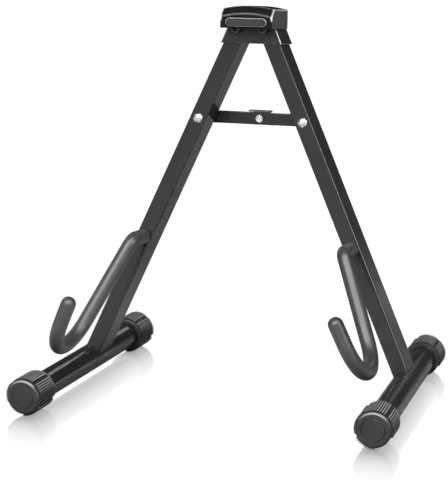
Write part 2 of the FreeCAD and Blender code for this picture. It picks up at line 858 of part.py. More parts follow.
def make_hook_rod(side_name, side):
    """Bent steel rod whose thinner stud goes through the leg."""
    body = new_body(side_name + "_hook_rod")
    face = -size("leg_depth") / 2
    add_pipe(body, "AdditivePipe", side_name + "_rod", size("rod_radius"), face,
             size("hook_tip"))
    stud = new_sketch(body, side_name + "_stud", "XZ_Plane",
                      forward=size("stud_root") - face)
    add_circle(stud, size("stud_radius"), 0.0, size("hook_level"))
    length = size("leg_depth") + size("stud_end") + size("stud_root")
    pad(body, stud, length, backwards=True)
    body.Placement = leg_placement(side)
    return body


def make_hook_sleeve(side_name, side):
    """Soft sleeve over the rod, closed and rounded at the tip."""
    body = new_body(side_name + "_hook_sleeve")
    start = -(size("leg_depth") / 2 + size("sleeve_gap"))
    outer = add_pipe(body, "AdditivePipe", side_name + "_sleeve", size("sleeve_radius"), start,
                     size("hook_tip") + size("sleeve_end"))
    rim_length = 2 * math.pi * size("sleeve_radius").number

    def is_rim(edge):
        return abs(edge.Length - rim_length) < SAME
    foremost = min((edge for edge in outer.Shape.Edges if is_rim(edge)),
                   key=lambda edge: edge.CenterOfMass.y)
    rounded = fillet(body, outer, size("sleeve_radius") - size("sleeve_flat"), foremost.isSame)
    add_pipe(body, "SubtractivePipe", side_name + "_bore",
             size("rod_radius") + size("running_clearance"), start, size("hook_tip") + 0.1)
    if not body.Shape.Volume < rounded.Shape.Volume:
        raise RuntimeError("the sleeve has no bore")
    body.Placement = leg_placement(side)
    return body


def make_hook_fixings(side_name, side):
    """Washer and nut on the stud behind the leg."""
    rear = size("leg_depth").number / 2
    level = size("hook_level").number
    washer = ring(side_name + "_hook_washer", size("hook_washer_radius"), size("stud_radius"),
                  size("hook_washer"))
    washer.Placement = leg_placement(side) * Placement(Vector(0, rear, level), Rotation())
    body = hexagon(side_name + "_hook_nut_body", size("hook_nut_circumradius"),
                   size("hook_nut_height"))
    hole = cylinder(side_name + "_hook_nut_hole", size("stud_radius"), size("hook_nut_height"))
    nut = cut(side_name + "_hook_nut", body, hole)
    behind = Vector(0, rear + size("hook_washer").number, level)
    nut.Placement = leg_placement(side) * Placement(behind, Rotation())
    return [washer, nut]


# ---------------------------------------------------------------- brace

def arm_layers():
    """Front faces of the two arms behind the plane through the leg axes."""
    front_arm = size("leg_depth") / 2 + size("right_washer") + size("washer_gap")
    rear_arm = front_arm + size("arm_sheet") + size("arm_gap")
    return {"right": front_arm, "left": rear_arm}


def make_arm(side_name, side):
    """Flat bar from its leg's rivet to the centre rivet.

    The right one lies in front, ends square and carries the stop tab.
    """
    body = new_body(side_name + "_brace_arm")
    front = arm_layers()[side_name]
    half = size("arm_half_height")
    outer = side * size("brace_half")
    bar = new_sketch(body, side_name + "_arm_bar", "XZ_Plane", forward=-front)
    inner = as_size(0.0) if side_name == "left" else -half
    add_outline(bar, rectangle(min_size(outer, inner), max_size(outer, inner), -half, half))
    solid = pad(body, bar, size("arm_sheet"), backwards=True)
    if side_name == "right":
        fillet(body, solid, size("arm_end_corner"), lambda edge: is_end_corner(edge, inner))
    for name, x in (("outer_eye", outer), ("centre_eye", as_size(0.0))):
        eye = new_sketch(body, "{}_arm_{}".format(side_name, name), "XZ_Plane", forward=-front)
        add_circle(eye, half, x)
        pad(body, eye, size("arm_sheet"), backwards=True)
    if side_name == "right":
        add_stop_tab(body, front)
    holes = new_sketch(body, side_name + "_arm_holes", "XZ_Plane")
    pin_fit = size("rivet_radius") + size("running_clearance")
    add_circle(holes, pin_fit, outer)
    add_circle(holes, pin_fit)
    pocket(body, holes, 4 * size("leg_depth"), symmetric=True)
    body.Placement = brace_placement()
    return body


def is_end_corner(edge, x):
    """Whether an edge runs through the sheet at a bar's end."""
    direction = points_along(edge)
    if direction is None or abs(direction.y) < 0.9:
        return False
    return abs(edge.CenterOfMass.x - as_size(x).number) < SAME


def min_size(first, second):
    return min(as_size(first), as_size(second), key=lambda value: value.number)


def max_size(first, second):
    return max(as_size(first), as_size(second), key=lambda value: value.number)


def add_stop_tab(body, front):
    """Flange bent back over the other arm, which keeps the straightened brace from sagging."""
    level = size("tab_level")
    top = level + size("tab_sheet")
    length = size("tab_half_length")
    upright = new_sketch(body, "tab_upright", "XZ_Plane", forward=-front)
    add_outline(upright, rectangle(-size("tab_root_left"), length, as_size(0.0), top))
    pad(body, upright, size("arm_sheet"), backwards=True)
    flange = new_sketch(body, "tab_flange", "XZ_Plane", forward=-front)
    add_outline(flange, rectangle(-length, length, level, top))
    folded = pad(body, flange, size("tab_reach"), backwards=True)

    def bend_line(edge):
        direction = points_along(edge)
        if direction is None or abs(direction.x) < 0.9:
            return False
        middle = edge.CenterOfMass
        return abs(middle.z - top.number) < SAME and abs(middle.y - front.number) < SAME
    fillet(body, folded, size("tab_bend"), bend_line)


def rivet_profile(sketch, head_face, head_radius, head_height, radius, tail_face,
                  tail_radius, tail_height):
    """Half section of a rivet along Y: domed head in front, flat tail head behind."""
    dome = (head_radius * head_radius + head_height * head_height) / (2 * head_height)
    corners = [
        (head_face - head_height, 0.0, dome), (head_face, head_radius), (head_face, radius),
        (tail_face, radius), (tail_face, tail_radius),
        (tail_face + tail_height, tail_radius - size("rivet_chamfer")),
        (tail_face + tail_height, 0.0)]
    corners.reverse()
    turned = [corner[:2] for corner in corners]
    turned[-2] = (head_face, head_radius, dome)
    add_outline(sketch, turned)


def axial_sketch(body, name):
    """Sketch whose horizontal axis runs along Y and vertical axis along Z."""
    return new_sketch(body, name, "YZ_Plane")


def make_brace_rivets():
    """Rivets of the brace.

    The left one holds its arm. The right one ends at the leg's rear face and its tail turns
    with the arm, because the brace's loop is opened there.
    """
    layers = arm_layers()
    rear = size("leg_depth") / 2
    nodes = []
    left = new_body("left_brace_rivet")
    sketch = axial_sketch(left, "left_rivet_section")
    rivet_profile(sketch, -rear, size("rivet_head_radius"), size("rivet_head_height"),
                  size("rivet_radius"), layers["left"] + size("arm_sheet") + size("washer_gap"),
                  size("rivet_head_radius"), size("rivet_tail_height"))
    revolve(left, sketch)
    right = new_body("right_brace_rivet")
    sketch = axial_sketch(right, "right_rivet_section")
    dome_radius = size("rivet_head_radius")
    dome_height = size("rivet_head_height")
    dome = (dome_radius * dome_radius + dome_height * dome_height) / (2 * dome_height)
    end = rear + size("right_washer")
    add_outline(sketch, [(end, 0.0), (end, size("rivet_radius")), (-rear, size("rivet_radius")),
                         (-rear, dome_radius, dome), (-rear - dome_height, 0.0)])
    revolve(right, sketch)
    tail = new_body("right_rivet_tail")
    sketch = axial_sketch(tail, "right_tail_section")
    front = layers["right"]
    back = front + size("arm_sheet")
    tip = back + size("rivet_tail_height")
    add_outline(sketch, [(tip, 0.0), (tip, size("rivet_head_radius") - size("rivet_chamfer")),
                         (back, size("rivet_head_radius")), (back, size("rivet_radius")),
                         (front, size("rivet_radius")), (front, 0.0)])
    revolve(tail, sketch)
    for body, side in ((left, -1), (right, 1), (tail, 1)):
        local = Vector(0, 0, (size("leg_length") - size("brace_drop")).number)
        body.Placement = leg_placement(side) * Placement(local, Rotation())
        nodes.append(body)
    return nodes


def make_brace_washers():
    """Washer on the right rivet and thicker spacer on the left one, behind the legs."""
    layers = arm_layers()
    rear = size("leg_depth") / 2
    spacer = ring("left_brace_spacer", size("arm_half_height"), size("rivet_radius"),
                  layers["left"] - rear - size("washer_gap"))
    washer = ring("right_brace_washer", size("arm_half_height"), size("rivet_radius"),
                  size("right_washer"))
    for node, side in ((spacer, -1), (washer, 1)):
        local = Vector(0, rear.number, (size("leg_length") - size("brace_drop")).number)
        node.Placement = leg_placement(side) * Placement(local, Rotation())
    return [spacer, washer]


def make_centre_rivet():
    """Rivet that joins the two arms, its front head grooved round; it stays with the left arm."""
    body = new_body("centre_rivet")
    sketch = axial_sketch(body, "centre_rivet_section")
    layers = arm_layers()
    front = layers["right"] - size("washer_gap")
    back = layers["left"] + size("arm_sheet") + size("washer_gap")
    shank = size("rivet_radius")
    head = size("centre_rivet_head")
    height = size("centre_rivet_height")
    rim = size("centre_rivet_rim")
    face = head - size("rivet_chamfer")
    core = size("centre_rivet_core")
    ring_inside = core + size("centre_rivet_groove")
    core_face = front - height + size("centre_rivet_core_sunk")
    groove_floor = front - height + size("centre_rivet_groove_depth")
    add_outline(sketch, [
        (core_face, 0.0), (core_face, core), (groove_floor, core), (groove_floor, ring_inside),
        (front - height, ring_inside), (front - height, face), (front - rim, head),
        (front, head), (front, shank), (back, shank), (back, head), (back + rim, head),
        (back + height, face), (back + height, 0.0)])
    revolve(body, sketch)
    body.Placement = brace_placement()
    return body


# ---------------------------------------------------------------- building

def build_all():
    nodes = [make_bracket(), make_block(), make_badge()]
    nodes += make_head_fasteners()
    for side_name, side in SIDES.items():
        nodes.append(make_leg(side_name, side))
        nodes.append(make_pivot_bush(side_name, side))
        nodes.append(make_foot_tube(side_name, side))
        nodes += make_caps(side_name, side)
        nodes.append(make_hook_rod(side_name, side))
        nodes.append(make_hook_sleeve(side_name, side))
        nodes += make_hook_fixings(side_name, side)
        nodes.append(make_arm(side_name, side))
    nodes += make_brace_rivets()
    nodes += make_brace_washers()
    nodes.append(make_centre_rivet())
    return nodes


def check(nodes):
    """Stop if any object of the document failed, or any node has no valid solid."""
    doc.recompute()
    for item in doc.Objects:
        if "Invalid" in item.State or "Error" in item.State:
            raise RuntimeError("{} failed to recompute".format(item.Name))
    for node in nodes:
        shape = node.Shape
        if shape.isNull() or not shape.isValid() or not shape.Solids:
            raise RuntimeError("{} has no valid solid".format(node.Label))


def write(nodes):
    os.makedirs("parts", exist_ok=True)
    for node in nodes:
        node.Shape.exportStep("parts/{}.step".format(node.Label))
        print(node.Label, len(node.Shape.Solids), round(node.Shape.Volume))


NODES = build_all()
check(NODES)
write(NODES)
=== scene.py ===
"""Looks of the folding guitar stand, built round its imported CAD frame.

Metres throughout. The front of the stand faces -Y, +X is to the right seen from the front.
"""
import json
import math

import bpy
from mathutils import Matrix, Vector, noise


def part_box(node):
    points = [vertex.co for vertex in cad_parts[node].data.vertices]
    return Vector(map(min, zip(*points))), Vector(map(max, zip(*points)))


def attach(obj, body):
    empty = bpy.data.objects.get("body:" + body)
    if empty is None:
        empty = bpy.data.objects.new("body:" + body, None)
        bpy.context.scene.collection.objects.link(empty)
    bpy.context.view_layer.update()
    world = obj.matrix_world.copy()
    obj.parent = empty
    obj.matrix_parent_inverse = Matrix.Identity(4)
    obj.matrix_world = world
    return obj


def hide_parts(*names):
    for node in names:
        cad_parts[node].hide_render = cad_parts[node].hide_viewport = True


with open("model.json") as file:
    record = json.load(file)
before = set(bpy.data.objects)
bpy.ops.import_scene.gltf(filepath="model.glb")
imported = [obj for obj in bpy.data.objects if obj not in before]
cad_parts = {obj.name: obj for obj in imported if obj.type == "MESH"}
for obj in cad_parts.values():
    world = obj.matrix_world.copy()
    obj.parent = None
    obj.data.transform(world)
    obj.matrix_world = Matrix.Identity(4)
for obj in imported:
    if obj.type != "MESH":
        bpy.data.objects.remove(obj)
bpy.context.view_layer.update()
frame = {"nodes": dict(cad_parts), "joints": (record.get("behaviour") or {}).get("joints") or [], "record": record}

MM = 0.001
SIDES = ("left", "right")
JOINTS = {joint["name"]: joint for joint in frame["joints"]}

# ---------------------------------------------------------------- camera

CAMERA_AZIMUTH = 18.29          # degrees round from straight in front, towards +X
CAMERA_ELEVATION = 12.132
CAMERA_ROLL = -0.201
CAMERA_DISTANCE = 1.6446
CAMERA_TARGET = Vector((-0.0062, -0.02206, 0.1344))
CAMERA_LENS = 144.9             # mm
CAMERA_SENSOR = 36              # mm
CAMERA_CLIP = (0.05, 60)


def direction(azimuth, elevation):
    """Unit vector towards an azimuth, 0 at -Y and 90 at +X, and an elevation, in degrees."""
    turn = math.radians(azimuth)
    rise = math.radians(elevation)
    return Vector((math.sin(turn) * math.cos(rise), -math.cos(turn) * math.cos(rise),
                   math.sin(rise)))


def make_camera():
    data = bpy.data.cameras.new("camera")
    data.lens = CAMERA_LENS
    data.sensor_width = CAMERA_SENSOR
    data.clip_start, data.clip_end = CAMERA_CLIP
    camera = bpy.data.objects.new("camera", data)
    bpy.context.scene.collection.objects.link(camera)
    back = direction(CAMERA_AZIMUTH, CAMERA_ELEVATION)
    level = back.to_track_quat("Z", "Y").to_matrix()
    rolled = level @ Matrix.Rotation(math.radians(CAMERA_ROLL), 3, "Z")
    place = Matrix.Translation(CAMERA_TARGET + back * CAMERA_DISTANCE)
    camera.matrix_world = place @ rolled.to_4x4()
    bpy.context.scene.camera = camera


# ---------------------------------------------------------------- shader helpers

GROOVE_OCCLUSION = (0.25, 0.95)     # share of open sky where a groove is darkest, and clear
EDGE_OCCLUSION = (0.62, 0.94)       # the same inside the solid, at a sharp edge and in a flat
GRIP_OCCLUSION = (0.45, 0.98)       # the groove's pair for rubber's finer grooves
HALF_TONES = (0.3, 0.7)             # where fractal noise turns from one tone to the other
SPECKLE_SHARE = 0.45                # how much of rubber's mottling is fine, the rest is cloudy
MATT_SWING = 0.06                   # how far rubber's roughness strays either way
RUBBED_GLOSS = 0.40                 # an edge's roughness, as a share of the rubber's round it
EDGE_REACH = 1.6                    # how far the edge marks go in, in radii of rubber's edges
CHAMFER_HIGHLIGHT_COVER = 0.7                     # how much the painted highlight on the chamfers covers the rubber's own grey


class Shader:
    """A node tree with short ways to add and join nodes."""

    def __init__(self, tree):
        self.tree = tree
        tree.nodes.clear()

    def add(self, kind, inputs=None, **settings):
        node = self.tree.nodes.new(kind)
        for name, value in settings.items():
            setattr(node, name, value)
        for name, value in (inputs or {}).items():
            self.feed(node.inputs[name], value)
        return node

    def feed(self, socket, value):
        if isinstance(value, bpy.types.NodeSocket):
            self.tree.links.new(value, socket)
        else:
            socket.default_value = value

    def show(self, kind, surface):
        """Join a shader to an output node of this kind."""
        output = self.add(kind)
        self.tree.links.new(surface, output.inputs["Surface"])

    def math(self, operation, *values):
        node = self.add("ShaderNodeMath", operation=operation)
        for socket, value in zip(node.inputs, values):
            self.feed(socket, value)
        return node.outputs[0]

    def times(self, first, second):
        return self.math("MULTIPLY", first, second)

    def size_of(self, value):
        return self.math("ABSOLUTE", value)

    def dot(self, first, second):
        node = self.add("ShaderNodeVectorMath", operation="DOT_PRODUCT")
        self.feed(node.inputs[0], first)
        self.feed(node.inputs[1], second)
        return node.outputs["Value"]

    def spread(self, value, low, high, to_low=0.0, to_high=1.0):
        """Map low..high of a value smoothly to another range."""
        node = self.add("ShaderNodeMapRange", {
            "Value": value, "From Min": low, "From Max": high,
            "To Min": to_low, "To Max": to_high}, interpolation_type="SMOOTHSTEP")
        return node.outputs["Result"]

    def band(self, value, rise, fall):
        """1 between two smooth steps, 0 before the first and after the second."""
        return self.times(self.spread(value, *rise), self.spread(value, *fall, 1.0, 0.0))

    def place(self):
        """Where the surface is in the piece's own space."""
        return self.add("ShaderNodeTexCoord").outputs["Object"]

    def part_of(self, vector, axis):
        return self.add("ShaderNodeSeparateXYZ", {"Vector": vector}).outputs[axis]

    def facing(self, axis):
        """How far the surface faces along one of the piece's own axes, -1 to 1."""
        return self.part_of(self.add("ShaderNodeTexCoord").outputs["Normal"], axis)

    def noise(self, scale, detail=3.0, roughness=0.5, stretch=None):
        """Fractal noise over the piece's own space; scale is in waves per metre."""
        where = self.place()
        if stretch:
            where = self.add("ShaderNodeMapping", {"Vector": where, "Scale": stretch}).outputs[0]
        node = self.add("ShaderNodeTexNoise", {
            "Vector": where, "Scale": scale, "Detail": detail, "Roughness": roughness})
        return node.outputs["Fac"]

    def cells(self, scale):
        node = self.add("ShaderNodeTexVoronoi", {"Vector": self.place(), "Scale": scale})
        return node.outputs["Distance"]

    def blend(self, amount, first, second):
        """A colour between two colours."""
        node = self.add("ShaderNodeMix", data_type="RGBA")
        factor, _, _, _, _, _, colour_a, colour_b = node.inputs[:8]
        for socket, value in ((factor, amount), (colour_a, first), (colour_b, second)):
            self.feed(socket, value)
        return node.outputs[2]

    def choose(self, amount, first, second):
        """A number between two numbers."""
        node = self.add("ShaderNodeMix", data_type="FLOAT")
        factor, _, number_a, number_b = node.inputs[:4]
        for socket, value in ((factor, amount), (number_a, first), (number_b, second)):
            self.feed(socket, value)
        return node.outputs[0]

    def mixed(self, amount, first, second):
        """A shader between two shader nodes."""
        node = self.add("ShaderNodeMixShader", {"Fac": amount})
        for socket, shader_node in zip(node.inputs[1:], (first, second)):
            self.tree.links.new(shader_node.outputs[0], socket)
        return node

    def bump(self, height, distance, strength, normal=None):
        node = self.add("ShaderNodeBump", {
            "Height": height, "Distance": distance, "Strength": strength})
        if normal is not None:
            self.feed(node.inputs["Normal"], normal)
        return node.outputs["Normal"]

    def rounded_edges(self, radius):
        """Normals that turn softly over an edge."""
        return self.add("ShaderNodeBevel", {"Radius": radius}, samples=6).outputs["Normal"]

    def crevice_shade(self, reach, darkest, occlusion=GROOVE_OCCLUSION):
        """Painted shade: 1 in the open, falling to the darkest value in grooves and beside other pieces."""
        node = self.add("ShaderNodeAmbientOcclusion", {"Distance": reach}, samples=6)
        return self.spread(node.outputs["AO"], *occlusion, darkest, 1.0)

    def upper_edges(self, reach, rise=(-0.35, -0.05)):
        """1 on convex edges and thin ribs, 0 where the solid is thicker than the reach.

        Rise is how far up the surface faces where the mask starts and where it is full.
        """
        node = self.add("ShaderNodeAmbientOcclusion", {"Distance": reach}, samples=8,
                        inside=True, only_local=True)
        edges = self.spread(node.outputs["AO"], *EDGE_OCCLUSION, 1.0, 0.0)
        return self.times(edges, self.spread(self.facing("Z"), *rise))


def grey(value):
    return (value, value, value, 1.0)


def new_material(name):
    material = bpy.data.materials.new(name)
    material.use_nodes = True
    return material, Shader(material.node_tree)


def finish_material(shader, colour, roughness, normal, polish=None, **constants):
    """A Principled surface; the constants go straight to its sockets.

    Polish is a mask of where handling has left a shine.
    """
    surface = shader.add("ShaderNodeBsdfPrincipled", {
        "Base Color": colour, "Roughness": roughness, "Normal": normal})
    if polish is not None:
        shader.feed(surface.inputs["Coat Weight"], polish)
        shader.feed(surface.inputs["Coat Normal"], normal)
    for name, value in constants.items():
        surface.inputs[name.replace("_", " ")].default_value = value
    shader.show("ShaderNodeOutputMaterial", surface.outputs[0])


# ---------------------------------------------------------------- materials

def powder_coat():
    """Semi-gloss black powder coat on the tubes, with orange peel and worn upper edges."""
    material, shader = new_material("frame_black")
    patches = shader.spread(shader.noise(scale=140.0, detail=4.0), low=0.50, high=0.72)
    worn = shader.times(shader.upper_edges(reach=0.7 * MM), patches)
    clouds = shader.noise(scale=22.0, detail=4.0)
    paint = shader.blend(clouds, grey(0.008), grey(0.013))
    colour = shader.blend(worn, paint, grey(0.040))
    gloss = shader.spread(clouds, *HALF_TONES, to_low=0.12, to_high=0.19)
    peel = shader.bump(shader.noise(scale=700.0, detail=2.0), distance=0.03 * MM, strength=0.08)
    finish_material(shader, colour, gloss, peel)
    return material


def satin_sheet():
    """Satin black paint on the bracket and the brace bars, with chipped edges and a painted highlight along the
    bends.
    """
    material, shader = new_material("sheet_black")
    soft = shader.rounded_edges(1.4 * MM)
    edges = shader.upper_edges(reach=0.9 * MM)
    patches = shader.spread(shader.noise(scale=230.0, detail=4.0), low=0.48, high=0.70)
    clouds = shader.noise(scale=60.0, detail=5.0)
    paint = shader.blend(clouds, grey(0.007), grey(0.012))
    chipped = shader.blend(shader.times(edges, patches), paint, grey(0.060))
    # Painted highlight: surfaces turned partly sideways, the bends, are blended to a pale grey.
    bend = shader.band(shader.size_of(shader.facing("X")), rise=(0.30, 0.50), fall=(0.55, 0.75))
    colour = shader.blend(bend, chipped, grey(0.50))
    gloss = shader.spread(clouds, *HALF_TONES, to_low=0.24, to_high=0.34)
    grain = shader.bump(shader.noise(scale=1600.0, detail=2.0), distance=0.05 * MM,
                        strength=0.20, normal=soft)
    finish_material(shader, colour, gloss, grain, polish=edges,
                    Specular_IOR_Level=0.36, Coat_Roughness=0.14)
    return material


def moulded_rubber(name, dark, light, side_light, worn_and_highlit, edge_radius, grain_scale, grain_strength,
                   roughness, specular, rise, edge_mark_height, chamfer_highlight=None):
    """Matt moulded rubber with a fine eroded grain and painted shade darkening its grooves.

    The numbers called dark, light, side_light, worn_and_highlit and chamfer_highlight are greys:
    the rubber's two tones, painted light on its left and right faces, wear and painted highlight
    on its upper edges, and painted highlight on the upper part of its front and rear chamfers.
    Rise and edge_mark_height are where the edge marks start and where they are full: how far up
    the edges face, and how high they are.
    """
    material, shader = new_material(name)
    soft = shader.rounded_edges(edge_radius)
    bloom = shader.noise(scale=70.0, detail=5.0, roughness=0.6)
    speckle = shader.noise(scale=grain_scale, detail=2.0, roughness=0.7)
    mottled = shader.math("MULTIPLY_ADD", speckle, SPECKLE_SHARE,
                          shader.times(bloom, 1 - SPECKLE_SHARE))
    colour = shader.blend(shader.spread(mottled, *HALF_TONES), grey(dark), grey(light))

    # Painted light: faces turned to the left and right get a paler, speckled grey for the light that falls on
    # them.
    sideways = shader.spread(shader.size_of(shader.facing("X")), low=0.86, high=0.96)
    side_light_speckle = shader.spread(speckle, low=0.2, high=0.7, to_low=0.75, to_high=1.0)
    colour = shader.blend(shader.times(sideways, side_light_speckle), colour, grey(side_light))

    # Painted highlight, partly wear: speckled patches of a pale grey on upward-facing edges above a given height.
    height = shader.part_of(shader.place(), "Z")
    edges = shader.times(shader.upper_edges(EDGE_REACH * edge_radius, rise),
                         shader.spread(height, *edge_mark_height))
    worn = shader.times(edges, shader.spread(speckle, low=0.25, high=0.6))
    colour = shader.blend(worn, colour, grey(worn_and_highlit))

    if chamfer_highlight:
        # Painted highlight on the upper part of the front and rear chamfers.
        upper = shader.spread(shader.facing("Z"), low=0.35, high=0.70)
        chamfer = shader.band(shader.size_of(shader.facing("Y")),
                              rise=(0.45, 0.60), fall=(0.76, 0.88))
        chamfer_highlight_mask = shader.times(shader.times(upper, chamfer), CHAMFER_HIGHLIGHT_COVER)
        colour = shader.blend(chamfer_highlight_mask, colour, grey(chamfer_highlight))

    # Painted shade: the colour falls to near black in grooves and beside other pieces.
    groove_shade = shader.crevice_shade(2.0 * MM, darkest=0.0, occlusion=GRIP_OCCLUSION)
    colour = shader.blend(groove_shade, grey(0.001), colour)
    matt = shader.spread(bloom, *HALF_TONES, roughness - MATT_SWING, roughness + MATT_SWING)
    gloss = shader.times(matt, shader.spread(edges, 0.0, 1.0, to_low=1.0, to_high=RUBBED_GLOSS))
    grain = shader.bump(speckle, distance=0.10 * MM, strength=grain_strength, normal=soft)
    finish_material(shader, colour, gloss, grain, polish=edges,
                    Specular_IOR_Level=specular, Coat_Roughness=0.22)
    return material


def badge_plastic():
    """Smooth black plastic with a painted highlight along its upper edges."""
    material, shader = new_material("badge_black")
    soft = shader.rounded_edges(0.8 * MM)
    edges = shader.upper_edges(reach=0.6 * MM)
    clouds = shader.noise(scale=180.0, detail=4.0)
    plain = shader.blend(clouds, grey(0.007), grey(0.012))
    # Painted highlight: near-white on the upward-facing edges.
    colour = shader.blend(edges, plain, grey(0.90))
    gloss = shader.spread(clouds, *HALF_TONES, to_low=0.30, to_high=0.42)
    grain = shader.bump(shader.noise(scale=2600.0, detail=2.0), distance=0.04 * MM,
                        strength=0.20, normal=soft)
    finish_material(shader, colour, gloss, grain, polish=edges,
                    Specular_IOR_Level=0.38, Coat_Roughness=0.14)
    return material


def soft_sleeve():
    """Satin foam-rubber sleeve: closed skin with fine pores and a soft sheen."""
    material, shader = new_material("sleeve_grey")
    bloom = shader.noise(scale=38.0, detail=5.0, roughness=0.6)
    colour = shader.blend(shader.spread(bloom, *HALF_TONES), grey(0.019), grey(0.028))
    gloss = shader.spread(bloom, *HALF_TONES, to_low=0.38, to_high=0.48)
    skin = shader.bump(shader.noise(scale=260.0), distance=0.12 * MM, strength=0.16)
    pitted = shader.bump(shader.cells(scale=1500.0), distance=0.05 * MM, strength=0.30,
                         normal=skin)
    finish_material(shader, colour, gloss, pitted, Specular_IOR_Level=0.68,
                    Sheen_Weight=0.015, Sheen_Roughness=0.4)
    return material


def steel(name, dark, light, smoothest, roughest):
    """Plated or blackened steel with fine turning marks and small stains."""
    material, shader = new_material(name)
    soft = shader.rounded_edges(0.25 * MM)
    stains = shader.noise(scale=300.0, detail=5.0, roughness=0.6)
    colour = shader.blend(stains, grey(dark), grey(light))
    marks = shader.noise(scale=2400.0, detail=2.0, stretch=(1.0, 0.15, 1.0))
    gloss = shader.spread(stains, *HALF_TONES, smoothest, roughest)
    turned = shader.bump(marks, distance=0.02 * MM, strength=0.08, normal=soft)
    finish_material(shader, colour, gloss, turned, Metallic=1.0)
    return material


def make_materials():
    """One material for each material slot of the record."""
    block_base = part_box("head_block")[0].z
    return {
        "frame_black": powder_coat(),
        "sheet_black": satin_sheet(),
        # The block's pale sides and near-white upper edges are painted light and painted highlight.
        "block_rubber": moulded_rubber(
            "block_rubber", dark=0.003, light=0.008, side_light=0.052, worn_and_highlit=0.90,
            edge_radius=1.2 * MM, grain_scale=1900.0, grain_strength=0.50, roughness=0.46,
            specular=0.05, rise=(-0.35, -0.05),
            edge_mark_height=(block_base + 9.5 * MM, block_base + 12.0 * MM)),
        "badge_black": badge_plastic(),
        # The cap's pale upper edges and chamfer tops are painted highlight, the edges partly wear.
        "cap_rubber": moulded_rubber(
            "cap_rubber", dark=0.011, light=0.018, side_light=0.018, worn_and_highlit=0.40,
            edge_radius=0.50 * MM, grain_scale=1500.0, grain_strength=0.25, roughness=0.48,
            specular=0.45, rise=(0.10, 0.55), edge_mark_height=(0.0, 1.0 * MM), chamfer_highlight=0.25),
        "sleeve_grey": soft_sleeve(),
        "dark_steel": steel("dark_steel", dark=0.045, light=0.085, smoothest=0.34,
                            roughest=0.48),
        "zinc_steel": steel("zinc_steel", dark=0.55, light=0.72, smoothest=0.22,
                            roughest=0.34),
    }


def paint_cad_nodes(materials):
    """Give every CAD node the finish that the record names for it."""
    for part in frame["record"]["subparts"]:
        mesh = frame["nodes"][part["node"]].data
        mesh.materials.clear()
        mesh.materials.append(materials[part["material_slot"]])


# ---------------------------------------------------------------- mesh helpers

def mesh_object(name, vertices, faces, material, smooth=True):
    mesh = bpy.data.meshes.new(name)
    mesh.from_pydata([tuple(v) for v in vertices], [], faces)
    mesh.update()
    if smooth:
        mesh.polygons.foreach_set("use_smooth", [True] * len(mesh.polygons))
    mesh.materials.append(material)
    piece = bpy.data.objects.new(name, mesh)
    bpy.context.scene.collection.objects.link(piece)
    return piece


def box_centre(node):
    low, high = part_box(node)
    return (low + high) / 2


class LegFrame:
    """The leg's own axes: back through its depth, up its length, and across it."""

    def __init__(self, side):
        joint = JOINTS[side + "_leg_fold"]
        axis = Vector(joint["axis"])
        self.back = axis if axis.y > 0 else -axis
        self.pivot = Vector(joint["pos_m"])
        washer = box_centre(side + "_hook_washer")
        self.stud = washer - self.back * (washer - self.pivot).dot(self.back)
        self.up = (self.pivot - self.stud).normalized()
        self.across = self.back.cross(self.up)

    def point(self, base, across, back, up):
        return base + self.across * across + self.back * back + self.up * up


# ---------------------------------------------------------------- hook sleeves

LEG_HALF_DEPTH = 14.0 * MM
SLEEVE_RADIUS = 6.3 * MM
SLEEVE_BORE = 3.55 * MM
SLEEVE_GAP = 0.7 * MM           # bare rod between the leg and the sleeve
HOOK_STUB = 21.4 * MM           # straight run out of the leg's front face
HOOK_ELBOW = 8.5 * MM           # radii on the centre line
HOOK_BEND = 32.5 * MM
HOOK_ARM = 73.7 * MM
HOOK_ARM_ANGLE = math.radians(20.9)
HOOK_TIP = 20.8 * MM            # the rod's straight end
HOOK_TIP_ANGLE = math.radians(8.2)
SLEEVE_END = 4.0 * MM           # the sleeve past the rod's end
SLEEVE_LIP = 0.7 * MM           # how far the rolled lip stands towards the leg
SWELL = 0.010                   # unevenness, as a share of the radius
SWELL_WAVES = 55                # per metre of sleeve
SWELL_ROUND = 0.8               # how much the unevenness changes from side to side
CREASE_LENGTH = 2.3 * MM        # one crease inside a bend
CREASE_DEPTH = 0.09             # share of the radius, in a bend as tight as the sleeve is thick
TIP_FULLNESS = 0.9              # under 1, a blunter tip than a half ball
RING_SIDES = 40                 # points round the sleeve
LIP_RINGS = 6                   # steps round the lip and over the tip
TIP_RINGS = 10
STUB_STEP = 2.0 * MM            # spacing of the sleeve's rings on each part of the hook
ELBOW_STEP = 0.8 * MM
ARM_STEP = 2.0 * MM
BEND_STEP = 1.6 * MM
TIP_STEP = 1.5 * MM


def hook_run(start, tip):
    """Points, headings and curvatures along the hook's centre line, in the leg's own plane.

    A point is (back, up). A heading is the angle of travel, 180 degrees straight forwards
    and 270 straight down. A curvature is positive where the hook turns anticlockwise.
    """
    stations = []
    place = Vector((-start, 0.0))
    heading = math.pi

    def straight(length, step):
        nonlocal place
        count = max(2, round(length / step))
        way = Vector((math.cos(heading), math.sin(heading)))
        for number in range(count):
            stations.append((place + way * length * number / count, heading, 0.0))
        place = place + way * length

    def bend(radius, angle, step):
        nonlocal place, heading
        turn = 1 if angle > 0 else -1
        count = max(4, round(abs(angle) * radius / step))
        centre = place + Vector((-math.sin(heading), math.cos(heading))) * radius * turn
        arm = place - centre
        for number in range(count):
            part = angle * number / count
            stations.append((centre + rotated(arm, part), heading + part, turn / radius))
        place = centre + rotated(arm, angle)
        heading += angle

    straight(LEG_HALF_DEPTH + HOOK_STUB - start, STUB_STEP)
    bend(HOOK_ELBOW, math.pi / 2 - HOOK_ARM_ANGLE, ELBOW_STEP)
    straight(HOOK_ARM, ARM_STEP)
    bend(HOOK_BEND, -(math.pi - HOOK_ARM_ANGLE - HOOK_TIP_ANGLE), BEND_STEP)
    straight(tip, TIP_STEP)
    stations.append((place, heading, 0.0))
    return stations


def rotated(vector, angle):
    return Matrix.Rotation(angle, 2) @ vector


